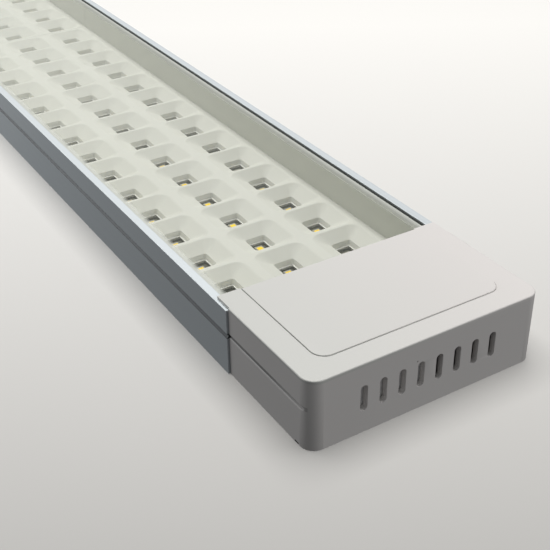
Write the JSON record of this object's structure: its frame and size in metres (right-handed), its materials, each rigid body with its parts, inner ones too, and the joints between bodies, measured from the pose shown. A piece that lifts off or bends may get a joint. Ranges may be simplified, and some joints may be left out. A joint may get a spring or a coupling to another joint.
{
  "type": "led linear light",
  "caption": "Slim surface-mounted LED linear light: aluminium channel, clear cover over a white pocketed reflector, and vented plastic end caps with lift-off wiring covers.",
  "frame": {"origin": "middle of the back face, which goes against the ceiling", "axes": "+X along the light towards the cap with the cable entry, +Z out of the back, the way it shines"},
  "size_m": [0.6, 0.075, 0.0219],
  "materials": {
    "anodised_aluminium": "satin anodised",
    "clear_sheet": "clear, gloss",
    "white_moulding": "satin white",
    "cap_plastic": "fine matt grain, pale grey",
    "led_board_mask": "dull olive solder mask",
    "led_body": "white",
    "phosphor": "yellow phosphor",
    "zinc_steel": "zinc plated",
    "grey_rubber": "soft matt",
    "terminal_plastic": "pale grey",
    "button_orange": "orange",
    "button_green": "green",
    "wire_brown": "brown insulation",
    "wire_blue": "blue insulation",
    "wire_green_yellow": "green and yellow insulation",
    "wire_red": "red insulation",
    "wire_black": "black insulation",
    "driver_mask": "green solder mask",
    "black_plastic": "black",
    "blue_epoxy": "blue epoxy",
    "yellow_box": "yellow moulded box",
    "ferrite": "sintered ferrite",
    "yellow_tape": "yellow tape over the winding",
    "copper": "enamelled copper",
    "tinned_brass": "tinned"
  },
  "bodies": {
    "light": {"channel_extrusion": "anodised_aluminium", "clear_cover": "clear_sheet", "reflector_near": "white_moulding", "reflector_far": "white_moulding", "led_board_near": "led_board_mask", "led_board_far": "led_board_mask", "led_packages": "led_body", "led_phosphors": "phosphor", "board_screws": "zinc_steel", "board_bridge": "led_body", "board_connector": "led_body", "end_cap_near": "cap_plastic", "end_cap_far": "cap_plastic", "base_plate_near": "cap_plastic", "base_plate_far": "cap_plastic", "cable_grommet": "grey_rubber", "cap_screws": "zinc_steel", "base_screws": "zinc_steel", "terminal_block": "terminal_plastic", "terminal_clamps": "tinned_brass", "terminal_screws": "zinc_steel", "supply_wire_line": "wire_brown", "supply_wire_neutral": "wire_blue", "earth_wire": "wire_green_yellow", "earth_lug": "tinned_brass", "led_wire_positive": "wire_red", "led_wire_negative": "wire_black", "driver_board": "driver_mask", "driver_screws": "zinc_steel", "driver_input_connector": "led_body", "driver_output_connector": "led_body", "fuse": "black_plastic", "varistor": "blue_epoxy", "film_capacitor": "yellow_box", "line_choke": "copper", "bridge_rectifier": "black_plastic", "bulk_capacitors": "black_plastic", "transformer_core": "ferrite", "transformer_bobbin": "yellow_tape"},
    "near_wiring_cover": {"wiring_cover_near": "cap_plastic"},
    "far_wiring_cover": {"wiring_cover_far": "cap_plastic"},
    "earth_button": {"terminal_button_earth": "button_green"},
    "line_button": {"terminal_button_line": "button_orange"},
    "neutral_button": {"terminal_button_neutral": "button_orange"}
  },
  "joints": [
    {"name": "near_wiring_cover_lift", "type": "slide", "parent": "light", "child": "near_wiring_cover", "axis": [0, 0, 1], "range_m": [0, 0.03]},
    {"name": "far_wiring_cover_lift", "type": "slide", "parent": "light", "child": "far_wiring_cover", "axis": [0, 0, 1], "range_m": [0, 0.03]},
    {"name": "earth_button_press", "type": "slide", "parent": "light", "child": "earth_button", "axis": [0, 0, -1], "range_m": [0, 0.001], "stiffness_N_per_m": 2000, "springref_m": -0.0005},
    {"name": "line_button_press", "type": "slide", "parent": "light", "child": "line_button", "axis": [0, 0, -1], "range_m": [0, 0.001], "stiffness_N_per_m": 2000, "springref_m": -0.0005},
    {"name": "neutral_button_press", "type": "slide", "parent": "light", "child": "neutral_button", "axis": [0, 0, -1], "range_m": [0, 0.001], "stiffness_N_per_m": 2000, "springref_m": -0.0005}
  ]
}
